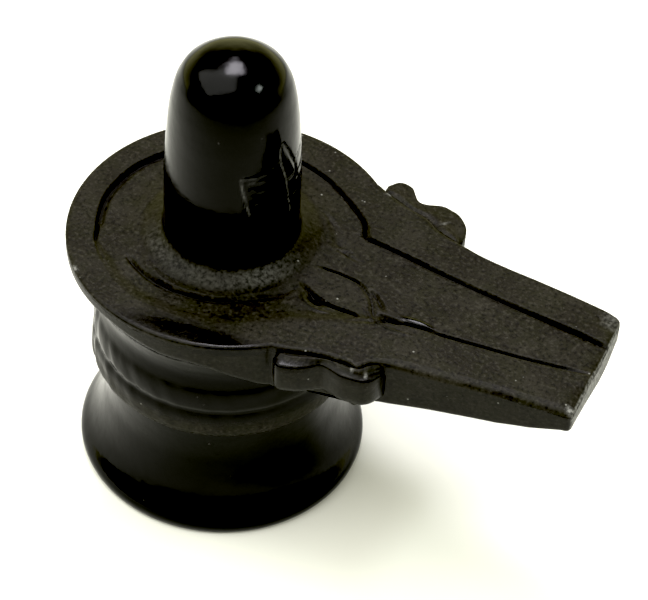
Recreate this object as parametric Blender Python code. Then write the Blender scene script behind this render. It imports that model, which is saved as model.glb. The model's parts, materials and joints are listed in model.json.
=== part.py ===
"""Household shiva lingam: one block of black stone, with a domed linga on a spouted yoni slab.

Metres, +Z up. The origin is the middle of the foot's flat underside, and the spout points along +X.
"""

import math

import bmesh
import bpy
from mathutils import Vector

# Heights above the underside
SLAB_TOP = 0.0572
DOME_START = 0.0880
LINGA_TOP = 0.1004
RING_BOTTOM = 0.0256
RING_TOP = 0.0374
NECK_HEIGHT = 0.0410
HEEL_HEIGHT = 0.0009

# Radii of the turned foot, ring and neck
REST_RADIUS = 0.0285
FLARE_RADIUS = 0.0291
SHIN_RADIUS = 0.0235
RING_RADIUS = 0.0260
NECK_RADIUS = 0.0244
BOWL_SETBACK = 0.0016
FLARE_TIGHTNESS = 4.6
RING_GROOVE = 0.0007

# Linga: its radii, and how much of its foot is a blended collar
LINGA_BASE_RADIUS = 0.0130
LINGA_DOME_RADIUS = 0.0120
DOME_SQUARENESS = 2.3
COLLAR_WIDTH = 0.0034
COLLAR_HEIGHT = 0.0018

# The slab and the linga stand this far towards the spout from the foot's axis
UPPER_SHIFT = 0.0012

# Slab: a round disc, which runs out into a spout
SLAB_RADIUS = 0.0315
SHOULDER_X = 0.0200
ROOT_X = 0.0440
TIP_X = 0.0766
ROOT_HALF_WIDTH = 0.0171
TIP_HALF_WIDTH = 0.0139
SPOUT_LEAN = -0.0019
FAR_CORNER = 0.0022
NEAR_CORNER = 0.0010
SLAB_EDGE_ROUND = 0.0005
UNDER_ROUND = 0.0010
KEEL_WIDTH = 0.45
KEEL_SETBACK = 0.0015

# Depth of the slab's side, from its top face down
BACK_DEPTH = 0.0031
MIDDLE_DEPTH = 0.0050
ROOT_DEPTH = 0.0110
TIP_SIDE_DEPTH = 0.0049
TIP_MIDDLE_DEPTH = 0.0076

# Scalloped brackets in the angles between disc and spout, as distances along X and out from the middle
BRACKET_START_X = 0.0222
BRACKET_LENGTH = 0.0193
BRACKET_OUT = 0.0274
BRACKET_SCALLOP = 0.0036
BRACKET_DEPTH = 0.0082
BRACKET_TOP_DROP = 0.0004
NEAR_BRACKET_SLOPE = 0.0013
FAR_BRACKET_SLOPE = 0.0004
BRACKET_NOSE = 0.0038
BRACKET_BURIED = 0.0030
BRACKET_EDGE = 0.00033

# Front of a bracket: shares of its length, and there its distance back as a share of the scallop
BRACKET_FRONT = [
    (0.00, 0.00),
    (0.11, 0.00),
    (0.27, 0.17),
    (0.34, 0.44),
    (0.43, 1.00),
    (0.60, 0.94),
    (0.70, 0.78),
    (0.82, 0.89),
    (0.93, 1.50),
    (1.00, 2.39),
]

# Carving of the slab's top: the moat round the platform, and the channel down the spout
MOAT_DEPTH = 0.0011
MOAT_RADIUS = 0.0256
PLATFORM_RADIUS = 0.0193
MOAT_GAP_FAR = math.radians(4)
MOAT_GAP_NEAR = math.radians(40)
JOINT_X = 0.0382
JOINT_LENGTH = 0.0080
JOINT_OUT = 0.0020
CHANNEL_START_X = 0.0262
CHANNEL_ROOT_HALF_WIDTH = 0.0092
CHANNEL_TIP_HALF_WIDTH = 0.0044
CHANNEL_LEAN = -0.0005
CHANNEL_STOP = 0.0022
LEAF_ROOT_X = 0.0206
LEAF_LENGTH = 0.0126
LEAF_WIDTH = 0.0087
LEAF_OUT = 0.0012

# Outline of the leaf: shares of its length, and there of its width away from the middle
LEAF_SHAPE = [
    (0.00, 0.03),
    (0.31, 0.00),
    (0.59, 0.06),
    (0.79, 0.22),
    (0.94, 0.48),
    (1.00, 0.78),
    (0.87, 1.00),
    (0.56, 0.94),
    (0.27, 0.86),
    (0.02, 0.74),
]

# Incised mark on the linga: three bars, an upright stroke at their left end and a pointed loop over them
MARK_HEIGHT = 0.0756
MARK_SPACING = 0.0044
MARK_DEPTH = 0.00045
BAR_WIDTH = 0.0023
BAR_MIDDLE = math.radians(-6)
BAR_HALF_SPAN = math.radians(46)
STROKE_WIDTH = 0.0010
UPRIGHT_PLACE = math.radians(-56)
UPRIGHT_LEAN = math.radians(3)
LOOP_MIDDLE = math.radians(-12)
LOOP_HALF_SPAN = math.radians(7.5)
LOOP_HEIGHT = 0.0165
LOOP_LAP = 0.03

# Facets
BODY_STEPS = 72
LINGA_STEPS = 56
DISC_STEPS = 60

# How far one helper solid runs into or past another
OVERLAP = 0.0010


def clear_scene():
    for old in list(bpy.data.objects):
        bpy.data.objects.remove(old, do_unlink=True)


def new_object(name, bm):
    """A mesh object of this bmesh, with its faces turned outwards."""
    bmesh.ops.recalc_face_normals(bm, faces=bm.faces)
    mesh = bpy.data.meshes.new(name)
    bm.to_mesh(mesh)
    bm.free()
    made = bpy.data.objects.new(name, mesh)
    bpy.context.scene.collection.objects.link(made)
    return made


def as_cutter(made):
    made.hide_render = True
    made.display_type = "WIRE"
    return made


def combine(target, tool, operation):
    """Adds the Boolean of a helper object to the target, and hides the helper."""
    as_cutter(tool)
    modifier = target.modifiers.new(tool.name, "BOOLEAN")
    modifier.operation = operation
    modifier.object = tool
    modifier.solver = "EXACT"


def turned(name, profile, steps, middle_x):
    """A closed solid of revolution. The profile runs from the axis to the axis as (radius, height)."""
    bm = bmesh.new()
    rings = []
    for radius, height in profile:
        if radius < 1e-7:
            rings.append([bm.verts.new((middle_x, 0, height))])
            continue
        ring = []
        for step in range(steps):
            angle = 2 * math.pi * step / steps
            place = (middle_x + radius * math.cos(angle), radius * math.sin(angle), height)
            ring.append(bm.verts.new(place))
        rings.append(ring)
    for lower, upper in zip(rings, rings[1:]):
        for step in range(steps):
            after = (step + 1) % steps
            corners = [lower[step % len(lower)], lower[after % len(lower)]]
            corners += [upper[after % len(upper)], upper[step % len(upper)]]
            bm.faces.new(list(dict.fromkeys(corners)))
    return new_object(name, bm)


def hermite(start, end, start_slope, end_slope, share):
    """Height of a smooth curve between two values, with a slope over the whole run at each end."""
    cube = share ** 3
    square = share ** 2
    value = (2 * cube - 3 * square + 1) * start + (3 * square - 2 * cube) * end
    return value + (cube - 2 * square + share) * start_slope + (cube - square) * end_slope


def smooth_share(low, high, value):
    share = min(1.0, max(0.0, (value - low) / (high - low)))
    return share * share * (3 - 2 * share)


def shoulder_half_width():
    return math.sqrt(SLAB_RADIUS ** 2 - (SHOULDER_X - UPPER_SHIFT) ** 2)


def half_width(x):
    """Half the slab's width at x, from where the disc's arc ends to the spout's tip."""
    if x <= ROOT_X:
        run = ROOT_X - SHOULDER_X
        share = (x - SHOULDER_X) / run
        return hermite(shoulder_half_width(), ROOT_HALF_WIDTH, -0.62 * run, -0.38 * run, share)
    share = (x - ROOT_X) / (TIP_X - ROOT_X)
    return ROOT_HALF_WIDTH + (TIP_HALF_WIDTH - ROOT_HALF_WIDTH) * share


def middle_line(x, lean):
    """How far the spout's middle line has moved off the X axis at x."""
    return lean * smooth_share(SHOULDER_X, ROOT_X + 0.2 * (TIP_X - ROOT_X), x)


def slab_outline():
    """Plan points of the slab, anticlockwise, from the tip's +Y corner round the disc to the -Y corner."""
    points = []
    stations = [SHOULDER_X + (ROOT_X - SHOULDER_X) * step / 12 for step in range(1, 13)]
    stations += [ROOT_X + (TIP_X - ROOT_X) * step / 10 for step in range(1, 11)]
    for side in (1, -1):
        tip_corner = FAR_CORNER if side == 1 else NEAR_CORNER
        stations[-1] = TIP_X - tip_corner
        edge = [(x, middle_line(x, SPOUT_LEAN) + side * half_width(x)) for x in stations]
        corner_y = edge[-1][1]
        corner = []
        for step in range(1, 4):
            turn = math.pi / 2 * step / 3
            in_from_tip = tip_corner * (1 - math.sin(turn))
            corner.append((TIP_X - in_from_tip, corner_y - side * tip_corner * (1 - math.cos(turn))))
        edge += corner
        if side == 1:
            points += edge[::-1]
            start = math.atan2(shoulder_half_width(), SHOULDER_X - UPPER_SHIFT)
            for step in range(DISC_STEPS + 1):
                angle = start + (2 * math.pi - 2 * start) * step / DISC_STEPS
                points.append((UPPER_SHIFT + SLAB_RADIUS * math.cos(angle), SLAB_RADIUS * math.sin(angle)))
        else:
            points += edge
    return points


def side_depth(x):
    """Depth of the slab's side below its top face."""
    if x <= ROOT_X:
        to_middle = (MIDDLE_DEPTH - BACK_DEPTH) * smooth_share(-0.35 * SLAB_RADIUS, 0.06 * SLAB_RADIUS, x)
        to_root = (ROOT_DEPTH - MIDDLE_DEPTH) * smooth_share(0.3 * SHOULDER_X, 1.2 * SHOULDER_X, x)
        return BACK_DEPTH + to_middle + to_root
    share = max(0.0, (x - ROOT_X) / (TIP_X - ROOT_X))
    deep = ROOT_DEPTH + (TIP_MIDDLE_DEPTH - ROOT_DEPTH) * share
    return deep + (TIP_SIDE_DEPTH - TIP_MIDDLE_DEPTH) * smooth_share(0.7, 1.0, share)


def middle_depth(x):
    """Depth of the slab's underside below its top face, along its middle."""
    share = max(0.0, (x - ROOT_X) / (TIP_X - ROOT_X))
    along_spout = ROOT_DEPTH + (TIP_MIDDLE_DEPTH - ROOT_DEPTH) * share
    return max(side_depth(x), along_spout) if x > ROOT_X else side_depth(x)


def edge_depth(x, y):
    """Depth of the slab's lower edge, which sags towards the middle across the spout's end face."""
    if x < TIP_X - FAR_CORNER:
        return side_depth(x)
    across = (y - middle_line(x, SPOUT_LEAN)) / half_width(min(x, TIP_X))
    return side_depth(x) + (middle_depth(x) - side_depth(x)) * max(0.0, 1 - across ** 2)


def inset(points, amount):
    """The closed outline moved inwards by this much."""
    moved = []
    for index, point in enumerate(points):
        before = Vector(points[index - 1])
        after = Vector(points[(index + 1) % len(points)])
        along = (after - before).normalized()
        moved.append((point[0] - along.y * amount, point[1] + along.x * amount))
    return moved


def loft(name, levels):
    """A closed solid through outlines of equal length, each a list of (x, y, z), from bottom to top."""
    bm = bmesh.new()
    rings = [[bm.verts.new(point) for point in level] for level in levels]
    for lower, upper in zip(rings, rings[1:]):
        for index in range(len(lower)):
            after = (index + 1) % len(lower)
            bm.faces.new((lower[index], lower[after], upper[after], upper[index]))
    ends = [bm.faces.new(rings[0][::-1]), bm.faces.new(rings[-1])]
    bmesh.ops.triangulate(bm, faces=ends[:1])
    return new_object(name, bm)


def at_height(points, height):
    return [(x, y, height) for x, y in points]


def build_slab():
    outline = slab_outline()
    edge = [(x, y, SLAB_TOP - edge_depth(x, y) + UNDER_ROUND) for x, y in outline]
    under = [(x, y, SLAB_TOP - edge_depth(x, y)) for x, y in inset(outline, UNDER_ROUND)]
    keel = []
    for x, y in outline:
        inner_x = x
        if x < SHOULDER_X:
            inner_x = UPPER_SHIFT + 0.7 * (x - UPPER_SHIFT)
        if x > TIP_X - FAR_CORNER:
            inner_x = x - KEEL_SETBACK
        lean = middle_line(x, SPOUT_LEAN)
        keel.append((inner_x, lean + KEEL_WIDTH * (y - lean), SLAB_TOP - middle_depth(x)))
    top_edge = at_height(outline, SLAB_TOP - SLAB_EDGE_ROUND)
    top = at_height(inset(outline, SLAB_EDGE_ROUND), SLAB_TOP)
    return loft("slab_block", [keel, under, edge, top_edge, top])


def foot_profile():
    ring_middle = RING_BOTTOM + 0.56 * (RING_TOP - RING_BOTTOM)
    flare = FLARE_RADIUS - SHIN_RADIUS
    profile = [(0, 0), (REST_RADIUS, 0), (FLARE_RADIUS, HEEL_HEIGHT)]
    for step in range(1, 9):
        share = step / 9
        height = HEEL_HEIGHT + (RING_BOTTOM - HEEL_HEIGHT) * share
        fading = math.exp(-FLARE_TIGHTNESS * share) * (1 - 0.3 * share)
        profile.append((SHIN_RADIUS + flare * fading, height))
    profile.append((SHIN_RADIUS, RING_BOTTOM))
    lower_ring = ring_middle - RING_BOTTOM
    for step in range(0, 6):
        turn = math.pi * (step / 5 - 0.5)
        swell = (RING_RADIUS - SHIN_RADIUS) * (0.55 + 0.45 * math.cos(turn))
        profile.append((SHIN_RADIUS + swell, RING_BOTTOM + lower_ring * (0.5 + 0.5 * math.sin(turn))))
    upper_ring = RING_TOP - ring_middle
    for step in range(1, 6):
        turn = math.pi * (step / 5 - 0.5)
        swell = (RING_RADIUS - RING_GROOVE - NECK_RADIUS) * (0.3 + 0.7 * math.cos(turn))
        profile.append((NECK_RADIUS + swell, ring_middle + upper_ring * (0.5 + 0.5 * math.sin(turn))))
    bowl_top = SLAB_TOP - BACK_DEPTH - OVERLAP / 2
    bowl_radius = SLAB_RADIUS - BOWL_SETBACK
    for step in range(0, 8):
        share = step / 7
        radius = NECK_RADIUS + (bowl_radius - NECK_RADIUS) * share ** 1.5
        profile.append((radius, NECK_HEIGHT + (bowl_top - NECK_HEIGHT) * share))
    profile.append((bowl_radius, SLAB_TOP - BACK_DEPTH / 2))
    profile.append((0, SLAB_TOP - BACK_DEPTH / 2))
    return profile


def linga_radius(height):
    """Radius of the linga at this height, up to where its dome starts."""
    share = (height - SLAB_TOP) / (DOME_START - SLAB_TOP)
    return LINGA_BASE_RADIUS + (LINGA_DOME_RADIUS - LINGA_BASE_RADIUS) * share ** 1.5


def linga_profile():
    buried = SLAB_TOP - 2 * OVERLAP
    profile = [(0, buried), (LINGA_BASE_RADIUS + COLLAR_WIDTH, buried)]
    for step in range(5):
        turn = math.pi / 2 * step / 4
        radius = LINGA_BASE_RADIUS + COLLAR_WIDTH * (1 - math.sin(turn))
        profile.append((radius, SLAB_TOP + COLLAR_HEIGHT * (1 - math.cos(turn))))
    shaft_start = SLAB_TOP + COLLAR_HEIGHT
    for step in range(1, 5):
        height = shaft_start + (DOME_START - shaft_start) * step / 4
        profile.append((linga_radius(height), height))
    for step in range(1, 8):
        turn = math.pi / 2 * step / 8
        radius = LINGA_DOME_RADIUS * math.cos(turn) ** (2 / DOME_SQUARENESS)
        rise = math.sin(turn) ** (2 / DOME_SQUARENESS)
        profile.append((radius, DOME_START + (LINGA_TOP - DOME_START) * rise))
    profile.append((0, LINGA_TOP))
    return profile


def build_bracket(side):
    """One scalloped bracket: two lobes with a hollow between them, sloping down from the slab's edge."""
    buried_out = ROOT_HALF_WIDTH - BRACKET_BURIED
    places = []
    for share, back in BRACKET_FRONT:
        nose_cut = BRACKET_NOSE if share == 0.0 else 0.0
        places.append((share, BRACKET_OUT - back * BRACKET_SCALLOP - nose_cut))
    places += [(share, buried_out) for share in (1.0, 0.5, 0.0)]
    outline = []
    heights = []
    for share, out in places if side == -1 else places[::-1]:
        x = BRACKET_START_X + BRACKET_LENGTH * share
        outline.append((x, middle_line(x, SPOUT_LEAN) + side * out))
        slope = FAR_BRACKET_SLOPE if side == 1 else NEAR_BRACKET_SLOPE
        fall = slope * (out - buried_out) / (BRACKET_OUT - buried_out)
        heights.append(SLAB_TOP - BRACKET_TOP_DROP - fall)
    rim = inset(outline, BRACKET_EDGE)
    bottom = at_height(rim, SLAB_TOP - BRACKET_DEPTH)
    lower = at_height(outline, SLAB_TOP - BRACKET_DEPTH + BRACKET_EDGE)
    upper = [(x, y, height - BRACKET_EDGE) for (x, y), height in zip(outline, heights)]
    top = [(x, y, height) for (x, y), height in zip(rim, heights)]
    return loft("bracket_block_far" if side == 1 else "bracket_block_near", [bottom, lower, upper, top])


def channel_edge(x, side):
    share = (x - CHANNEL_START_X) / (TIP_X - CHANNEL_STOP - CHANNEL_START_X)
    half = CHANNEL_ROOT_HALF_WIDTH + (CHANNEL_TIP_HALF_WIDTH - CHANNEL_ROOT_HALF_WIDTH) * share
    return CHANNEL_LEAN + side * half


def moat_outline():
    """Plan points of the sunk ground: the round moat, which runs out into the channel."""
    end_x = TIP_X - CHANNEL_STOP
    points = [(end_x, channel_edge(end_x, 1)), (CHANNEL_START_X, channel_edge(CHANNEL_START_X, 1))]
    first = math.atan2(channel_edge(CHANNEL_START_X, 1), CHANNEL_START_X - UPPER_SHIFT) + MOAT_GAP_FAR
    last = 2 * math.pi - MOAT_GAP_NEAR
    for step in range(DISC_STEPS + 1):
        angle = first + (last - first) * step / DISC_STEPS
        points.append((UPPER_SHIFT + MOAT_RADIUS * math.cos(angle), MOAT_RADIUS * math.sin(angle)))
    points.append((JOINT_X, channel_edge(JOINT_X, -1) - JOINT_OUT))
    points.append((JOINT_X + JOINT_LENGTH, channel_edge(JOINT_X + JOINT_LENGTH, -1)))
    points.append((end_x, channel_edge(end_x, -1)))
    return points


def platform_outline():
    """Plan points of the raised ground round the linga, with the leaf at one side of the spout's root."""
    points = []
    end = 2 * math.pi - math.radians(25)
    for step in range(DISC_STEPS + 1):
        angle = end * step / DISC_STEPS
        points.append((UPPER_SHIFT + PLATFORM_RADIUS * math.cos(angle), PLATFORM_RADIUS * math.sin(angle)))
    for along, across in LEAF_SHAPE[::-1]:
        points.append((LEAF_ROOT_X + LEAF_LENGTH * along, -LEAF_OUT - LEAF_WIDTH * across))
    return points


def prism(name, outline, low, high):
    return loft(name, [at_height(outline, low), at_height(outline, high)])


def stroke(name, path, width):
    """A cutter that follows a path of (angle, height) over the linga's side, as wide as the stroke."""
    bm = bmesh.new()
    flat = [Vector((angle * LINGA_BASE_RADIUS, height)) for angle, height in path]
    rings = []
    for index, (angle, height) in enumerate(path):
        before = flat[max(index - 1, 0)]
        after = flat[min(index + 1, len(flat) - 1)]
        along = (after - before).normalized()
        across = Vector((-along.y, along.x)) * width / 2
        ring = []
        for side, out in ((1, -MARK_DEPTH), (1, OVERLAP), (-1, OVERLAP), (-1, -MARK_DEPTH)):
            place = flat[index] + side * across
            radius = linga_radius(place.y) + out
            turn = place.x / LINGA_BASE_RADIUS
            point = (UPPER_SHIFT + radius * math.cos(turn), radius * math.sin(turn), place.y)
            ring.append(bm.verts.new(point))
        rings.append(ring)
    for first, second in zip(rings, rings[1:]):
        for corner in range(4):
            after = (corner + 1) % 4
            bm.faces.new((first[corner], first[after], second[after], second[corner]))
    bm.faces.new(rings[0][::-1])
    bm.faces.new(rings[-1])
    return new_object(name, bm)


def mark_cutters():
    cutters = []
    for number in (-1, 0, 1):
        height = MARK_HEIGHT + number * MARK_SPACING
        path = [(BAR_MIDDLE + BAR_HALF_SPAN * (step / 8 - 1), height) for step in range(17)]
        cutters.append(stroke(f"mark_bar_{number + 2}", path, BAR_WIDTH))
    reach = MARK_SPACING + BAR_WIDTH / 2
    upright = []
    for step in range(4):
        share = step / 3
        upright.append((UPRIGHT_PLACE + UPRIGHT_LEAN * (1 - share), MARK_HEIGHT + reach * (2 * share - 1)))
    cutters.append(stroke("mark_upright", upright, STROKE_WIDTH))
    loop_foot = MARK_HEIGHT - MARK_SPACING - BAR_WIDTH
    for side in (-1, 1):
        # the right stroke starts and stops within the left one
        lap = LOOP_LAP if side == 1 else 0.0
        path = []
        for step in range(11):
            share = lap + (1 - 2 * lap) * step / 10
            bulge = math.sin(math.pi * share ** 0.85)
            path.append((LOOP_MIDDLE + side * LOOP_HALF_SPAN * bulge, loop_foot + LOOP_HEIGHT * share))
        cutters.append(stroke("mark_loop_left" if side < 0 else "mark_loop_right", path, STROKE_WIDTH))
    return cutters


def black_stone():
    material = bpy.data.materials.new("black_stone")
    material.use_nodes = True
    shader = material.node_tree.nodes["Principled BSDF"]
    shader.inputs["Base Color"].default_value = (0.018, 0.018, 0.016, 1)
    shader.inputs["Roughness"].default_value = 0.35
    shader.inputs["Metallic"].default_value = 0.0
    material.diffuse_color = (0.03, 0.03, 0.028, 1)
    return material


def main():
    clear_scene()
    lingam = turned("shiva_lingam", foot_profile(), BODY_STEPS, 0.0)
    combine(lingam, build_slab(), "UNION")
    for side in (1, -1):
        combine(lingam, build_bracket(side), "UNION")
    sunk_ground = prism("moat_cutter", moat_outline(), SLAB_TOP - MOAT_DEPTH, SLAB_TOP + OVERLAP)
    platform_low = SLAB_TOP - 2 * MOAT_DEPTH
    platform = prism("platform_block", platform_outline(), platform_low, SLAB_TOP + 2 * OVERLAP)
    combine(sunk_ground, platform, "DIFFERENCE")
    combine(lingam, sunk_ground, "DIFFERENCE")
    combine(lingam, turned("linga_block", linga_profile(), LINGA_STEPS, UPPER_SHIFT), "UNION")
    for cutter in mark_cutters():
        combine(lingam, cutter, "DIFFERENCE")
    lingam.data.shade_smooth()
    lingam.data.set_sharp_from_angle(angle=math.radians(35))
    lingam.data.materials.append(black_stone())


main()
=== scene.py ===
import json
import math
import bmesh
import bpy
import numpy as np
from mathutils import Matrix, Vector

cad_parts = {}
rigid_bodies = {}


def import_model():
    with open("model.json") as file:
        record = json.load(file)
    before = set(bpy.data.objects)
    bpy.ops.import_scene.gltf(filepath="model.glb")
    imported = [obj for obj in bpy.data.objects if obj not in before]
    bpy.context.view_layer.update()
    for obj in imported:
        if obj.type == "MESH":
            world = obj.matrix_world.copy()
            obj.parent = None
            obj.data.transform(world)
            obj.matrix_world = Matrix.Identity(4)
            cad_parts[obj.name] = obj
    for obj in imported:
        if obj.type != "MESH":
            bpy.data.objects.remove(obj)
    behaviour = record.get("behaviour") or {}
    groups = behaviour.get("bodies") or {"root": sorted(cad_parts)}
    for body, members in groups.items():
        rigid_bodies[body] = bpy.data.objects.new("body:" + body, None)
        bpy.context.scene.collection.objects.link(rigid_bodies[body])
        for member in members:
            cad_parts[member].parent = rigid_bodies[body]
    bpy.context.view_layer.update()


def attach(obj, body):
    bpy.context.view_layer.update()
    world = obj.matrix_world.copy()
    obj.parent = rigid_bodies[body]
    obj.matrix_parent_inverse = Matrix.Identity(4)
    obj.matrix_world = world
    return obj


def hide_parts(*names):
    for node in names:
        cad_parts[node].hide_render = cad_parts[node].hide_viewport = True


# A household shiva lingam cut from one block of black stone.
# The stone is modelled in millimetres as one skin of rings, from the top of the linga over the slab and
# down to the foot, then carved by moving its points, and brought to metres at the end.

for old in list(bpy.data.objects):
    bpy.data.objects.remove(old, do_unlink=True)
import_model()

# The photographer stood high at the spout's near side, with the picture turned a little
viewSetup = {
    "place": (0.143162, -0.300269, 0.373838),
    "forward": (-0.26512, 0.65226, -0.71011),
    "right": (0.9264, 0.3766, 0.0),
    "roll": 3.43,
    "lens": 133.33,
    "filmWidth": 36,
}


def makeCamera(setup):
    forward = Vector(setup["forward"]).normalized()
    right = Vector(setup["right"]).normalized()
    up = right.cross(forward)
    roll = math.radians(setup["roll"])
    across = math.cos(roll) * right + math.sin(roll) * up
    upright = math.cos(roll) * up - math.sin(roll) * right
    turn = Matrix((across, upright, -forward)).transposed().to_4x4()
    lensData = bpy.data.cameras.new("photoView")
    lensData.sensor_fit = "HORIZONTAL"
    lensData.sensor_width = setup["filmWidth"]
    lensData.lens = setup["lens"]
    camera = bpy.data.objects.new("photoView", lensData)
    camera.matrix_world = Matrix.Translation(Vector(setup["place"])) @ turn
    bpy.context.scene.collection.objects.link(camera)
    bpy.context.scene.camera = camera


makeCamera(viewSetup)
print("camera placed")

# All lengths from here to the finished mesh are in millimetres, measured from the middle of the foot
slabTop = 57.2
middleX = 1.2  # the linga and the disc stand this far towards the spout

linga = {
    # radius and height, from the crown down to where the collar runs out on the slab
    "profile": [(0.5, 100.4), (3.1, 99.95), (6.4, 98.95), (8.96, 97.1), (10.2, 95.2), (10.85, 93.6),
                (11.4, 91.4), (11.75, 89.4), (12.15, 86), (12.44, 82), (12.72, 77.5), (12.92, 73),
                (12.95, 68), (13.0, 62), (13.02, 60.2), (13.2, 59.4), (13.6, 58.8), (14.3, 58.3),
                (15.4, 57.85), (16.5, 57.42), (17.5, 57.2)],
    "rings": 104,
}

foot = {
    # radius and height, from the rest up to the neck
    "profile": [(28.1, 0.0), (28.45, 0.12), (28.8, 0.5), (29.05, 1.2), (29.15, 2.0), (29.0, 2.9),
                (28.4, 3.9), (27.6, 4.95), (26.8, 6.2), (25.8, 8.2), (25.0, 10.4), (24.3, 13.0),
                (23.7, 16.0), (23.5, 19.0), (23.5, 22.0), (23.6, 24.4), (24.0, 25.2), (25.2, 25.6),
                (26.0, 26.1), (26.3, 27.1), (26.3, 29.0), (26.1, 30.8), (25.7, 31.8), (25.5, 32.2),
                (25.7, 32.6), (25.8, 33.5), (25.7, 35.0), (25.4, 36.6), (24.9, 37.8), (24.5, 39.0),
                (24.3, 40.5)],
    "rings": 74,
    "bowl": [(24.3, 40.5), (24.35, 41.8), (24.8, 44.0), (25.8, 46.8), (27.2, 49.5), (28.7, 51.8),
             (29.7, 53.1), (30.1, 53.7)],
    "bowlRings": 11,
    "capShare": 0.985,  # the underside's flat is this much of the lowest ring
}

slab = {
    "radius": 31.6,
    "tipX": 76.6,
    # plan of the slab's top edge beyond the disc, on the far and the near side
    "farSide": [(74.4, 11.9), (72.2, 12.3), (65.5, 13.2), (58.9, 13.9), (52.1, 14.5), (46.9, 15.2),
                (43.4, 16.0)],
    "farRoot": [(43.4, 16.0), (41.0, 16.5), (38.4, 17.2), (35.9, 18.2), (34.4, 19.3), (33.0, 20.0),
                (30.6, 20.7), (28.2, 21.3), (26.1, 22.1), (24.0, 23.1), (21.8, 24.3)],
    "nearRoot": [(21.4, -24.5), (23.0, -24.1), (24.6, -23.7), (28.1, -22.6), (31.8, -21.9),
                 (35.3, -21.8), (37.2, -22.2), (38.2, -21.3), (39.0, -20.2), (40.7, -19.4),
                 (43.4, -18.8)],
    "nearSide": [(43.4, -18.8), (48.1, -18.2), (51.8, -17.8), (59.2, -16.9), (66.6, -16.2),
                 (75.6, -15.8)],
    # plan of the brackets' fronts, in the same order
    "farFront": [(42.4, 16.2), (41.9, 17.2), (41.8, 19.2), (40.9, 21.6), (38.6, 23.9), (36.3, 24.7),
                 (34.5, 24.9), (31.6, 23.9), (29.9, 24.1), (28.6, 25.6), (27.5, 27.0), (25.6, 27.6),
                 (24.3, 27.2), (23.3, 25.9), (22.3, 24.3)],
    "nearFront": [(21.8, -24.6), (22.5, -25.9), (23.2, -27.0), (24.4, -27.2), (27.2, -26.3),
                  (29.2, -24.9), (30.7, -23.6), (32.2, -23.7), (35.1, -24.4), (38.0, -24.2),
                  (39.7, -23.8), (40.9, -22.6), (41.6, -20.9), (42.0, -19.4)],
    # depth of the slab's side below its top, by place along the spout's direction
    "depths": [(-31, 3.1), (-9.4, 3.15), (-6.9, 3.5), (-2.5, 4.1), (1.6, 4.85), (7.7, 5.1), (9.6, 5.5),
               (11.4, 6.05), (13.1, 6.75), (14.8, 7.55), (16.4, 8.35), (18, 9.2), (19.6, 10.2),
               (21.5, 10.9), (43, 10.8), (51, 9.6), (57, 9.0), (63, 8.4), (69, 7.1), (75, 5.0),
               (77, 4.9)],
    # depth of the end face across the spout
    "endDepths": [(-16, 4.9), (-14, 4.9), (-11.7, 5.1), (-7.4, 5.8), (-4, 6.5), (1, 7.5), (5, 7.2),
                  (7.5, 5.9), (9.6, 4.9), (13, 4.8)],
    "topRings": 50,
    # rounding of the worn rim: round the disc, and how much more on the spout's two sides
    "rimRadius": 0.34,
    "nearMore": 0.5,
    "farMore": 0.2,
    "rimTurns": [22, 45, 68, 90],
    # the side's lower edge, ring by ring: set back from the plan, and height above the underside
    "lowerEdge": [(0.0, 0.9), (0.04, 0.5), (0.2, 0.2), (0.5, 0.04), (0.8, 0.0)],
    # points given to each stretch of the edge, and to the brackets' fronts
    "counts": {"endFar": 26, "cornerFar": 7, "farSide": 44, "farRoot": 52, "farArc": 92, "nearArc": 93,
               "nearRoot": 52, "nearSide": 46, "cornerNear": 5, "endNear": 29, "farFront": 47,
               "nearFront": 45},
}

bracket = {
    # ring by ring down the side: share of the way out to the front, and height there
    "steps": [(0.0, -0.45), (0.03, -1.0), (0.12, -1.1), (0.2, -0.62), (0.36, -0.85), (0.6, -1.25),
              (0.84, -1.35), (0.95, -1.45), (1.0, -1.8), (1.0, -3.2), (1.0, -5.0), (1.0, -6.8),
              (0.97, -7.6), (0.85, -8.0), (0.4, -8.4), (0.0, -8.9)],
    "topSteps": 9,  # the steps that make its top
    "grooveSteps": (1, 2, 3),  # and among them those of the groove behind it
    "grooveEnd": 37.5,  # where that groove runs out towards the spout
    "fullReach": 1.6,  # a front further out than this takes the steps in full
    "farTop": 0.35,  # the far one lies nearly flush with the slab
}


# Evenly spaced points of a soft curve through the given ones
def smoothPath(points, count):
    given = np.array(points, float)
    padded = np.vstack([2 * given[0] - given[1], given, 2 * given[-1] - given[-2]])
    stepsBetween = 24
    dense = []
    for a, b, c, d in zip(padded, padded[1:], padded[2:], padded[3:]):
        for share in np.linspace(0, 1, stepsBetween, endpoint=False):
            squared, cubed = share * share, share ** 3
            dense.append(0.5 * (2 * b + (c - a) * share + (2 * a - 5 * b + 4 * c - d) * squared
                                + (3 * b - a - 3 * c + d) * cubed))
    dense.append(given[-1])
    dense = np.array(dense)
    along = np.concatenate([[0], np.cumsum(np.linalg.norm(np.diff(dense, axis=0), axis=1))])
    wanted = np.linspace(0, along[-1], count)
    return np.stack([np.interp(wanted, along, dense[:, k]) for k in range(given.shape[1])], 1)


def circleOf(turns, radius, middle):
    return np.stack([middle + radius * np.cos(turns), radius * np.sin(turns)], 1)


def withHeight(plan, height):
    return np.column_stack([plan, np.broadcast_to(height, len(plan))])


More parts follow.
